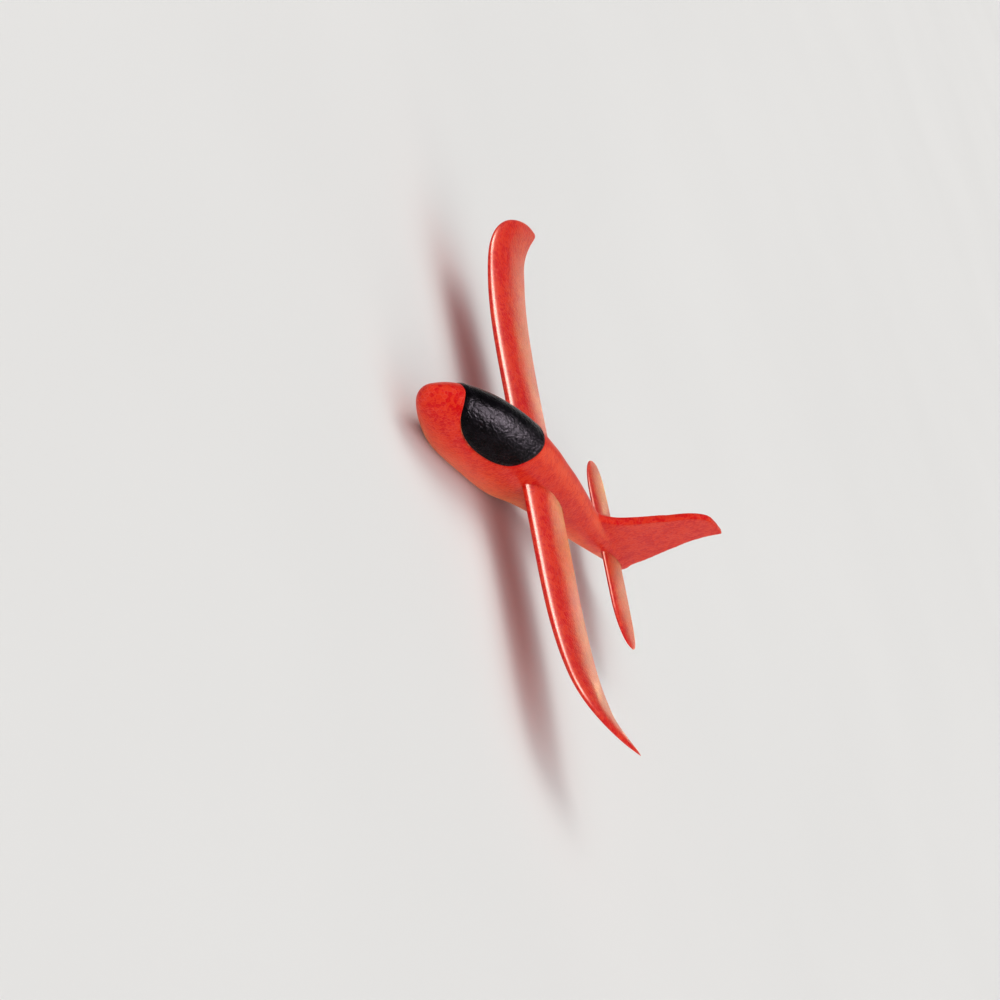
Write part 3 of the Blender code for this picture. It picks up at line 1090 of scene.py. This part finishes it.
@dataclass(frozen=True)
class Studio:
    """A plain pale floor, an even surround and the soft lights."""

    floor_side: float = 60.0
    floor_colour: Colour = (0.78, 0.78, 0.77)
    horizon: Colour = (0.78, 0.775, 0.76)
    overhead: Colour = (0.11, 0.11, 0.12)
    lights: tuple[SoftSun, ...] = (
        SoftSun("key", (-0.44, -0.20, 0.87), 36.0, 0.70, (1.0, 0.97, 0.93), Reach.COLOUR),
        SoftSun("dome", (0.05, -0.15, 1.0), 110.0, 1.85, (1.0, 1.0, 1.0), Reach.COLOUR),
        SoftSun("side", (0.90, -0.25, 0.24), 50.0, 1.0, (1.0, 0.93, 0.86), Reach.COLOUR),
        SoftSun("low_front", (0.45, -0.88, 0.12), 40.0, 0.5, (1.0, 0.90, 0.80), Reach.COLOUR),
        SoftSun("edge_strip", (-0.44, -0.24, 0.86), 28.0, 8.6, (1.0, 0.88, 0.76), Reach.GLOSS, PANELS),
        SoftSun("rim", (-0.40, 0.89, 0.19), 20.0, 0.17, (1.0, 0.60, 0.34), Reach.GLOSS, PANELS),
        SoftSun("canopy_strip", (0.37, 0.575, 0.73), 14.0, 7.6, (1.0, 0.84, 0.98), Reach.GLOSS, CANOPY),
        SoftSun("shoulder_rim", (0.08, 0.90, 0.42), 36.0, 0.70, (1.0, 0.56, 0.30), Reach.GLOSS, BODY),
        SoftSun("belly_rim", (0.0, 0.80, -0.60), 42.0, 0.65, (1.0, 0.42, 0.18), Reach.GLOSS, BODY),
    )

    def build(self) -> None:
        """Lays the floor and hangs the lights."""
        Bench.clear()
        bpy.ops.mesh.primitive_grid_add(x_subdivisions=4, y_subdivisions=4, size=self.floor_side)
        floor = Bench("studio_floor").piece
        recipe = Recipe("pale_floor", Specular_IOR_Level=0.0)
        cloud = recipe.noise(0.6, 2.0)
        worn = [level * 0.97 for level in self.floor_colour]
        colour = recipe.mix(recipe.range(cloud, 0.2, 0.8), self.floor_colour, worn)
        floor.data.materials.append(recipe.finish(colour, 0.9, cloud, MM / 10))
        self.surround()
        bpy.context.scene.view_settings.view_transform = "Standard"
        for light in self.lights:
            light.hang()

    def surround(self) -> None:
        """Makes the even surround, pale at the horizon and dim overhead."""
        world = bpy.data.worlds.new("surround")
        world.use_nodes = True
        nodes, links = world.node_tree.nodes, world.node_tree.links
        place = nodes.new("ShaderNodeTexCoord")
        split = nodes.new("ShaderNodeSeparateXYZ")
        fade = nodes.new("ShaderNodeValToRGB")
        fade.color_ramp.interpolation = "EASE"
        low, high = fade.color_ramp.elements
        low.position, low.color = 0.04, (*self.horizon, 1.0)
        high.position, high.color = 0.30, (*self.overhead, 1.0)
        links.new(place.outputs["Generated"], split.inputs[0])
        links.new(split.outputs["Z"], fade.inputs[0])
        links.new(fade.outputs[0], nodes["Background"].inputs["Color"])
        bpy.context.scene.world = world


def main() -> None:
    """Builds the glider, dresses it and lights it."""
    logging.basicConfig(level=logging.INFO, format="%(message)s")
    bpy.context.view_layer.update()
    Viewpoint().place()

    reds = (0.60, 0.001, 0.004), (0.70, 0.028, 0.009), (0.76, 0.085, 0.060)
    body_foam = BeadFoam("red_bead_foam", *reds, roughness=0.50, gloss=0.08,
                         coat=0.26, coat_blur=0.28).material()
    wing_foam = BeadFoam("red_bead_foam_glossed", *reds).material()
    plug_foam = BeadFoam("grey_plug_foam", (0.055, 0.055, 0.060), (0.075, 0.075, 0.080), (0.13, 0.13, 0.14),
                         bead=2.6 * MM, roughness=0.75, coat=0.0, fuzz=0.0).material()
    wing = Panel(
        "wing", Body.WING, 0.085, 0.070, 0.144, 0.042, 2.4 * MM,
        ((0.070, 0.0850), (0.140, 0.0830), (0.198, 0.0740), (0.213, 0.0698), (0.223, 0.0702), (0.234, 0.0742),
         (0.2400, 0.0775), (0.2440, 0.0792), (0.2460, 0.0775)),
        (0.189, 0.073), 3 * MM, 28 * MM, 3.2, 0.30)
    tailplane = Panel(
        "tailplane", Body.TAILPLANE, 0.045, 0.026, 0.125, 0.0, 1.8 * MM,
        ((0.026, 0.0450), (0.062, 0.0442), (0.076, 0.0430), (0.085, 0.0400), (0.090, 0.0360),
         (0.092, 0.0325)),
        (0.046, 0.0285), 0.0, 0.0, 1.0, 0.25, rings=36)
    fuselage = Fuselage()
    canopy = Canopy(fuselage)
    ballast = Ballast()

    fuselage.build(canopy, (wing, tailplane), ballast, body_foam)
    canopy.build(SatinMoulding().material())
    wing.build(wing_foam, rod_groove(0.3 * MM))
    tailplane.build(wing_foam)
    ballast.build(TurnedSteel().material(), plug_foam)
    dress("wing_spar", GlassRod().material())
    Studio().build()


if __name__ == "__main__":
    main()
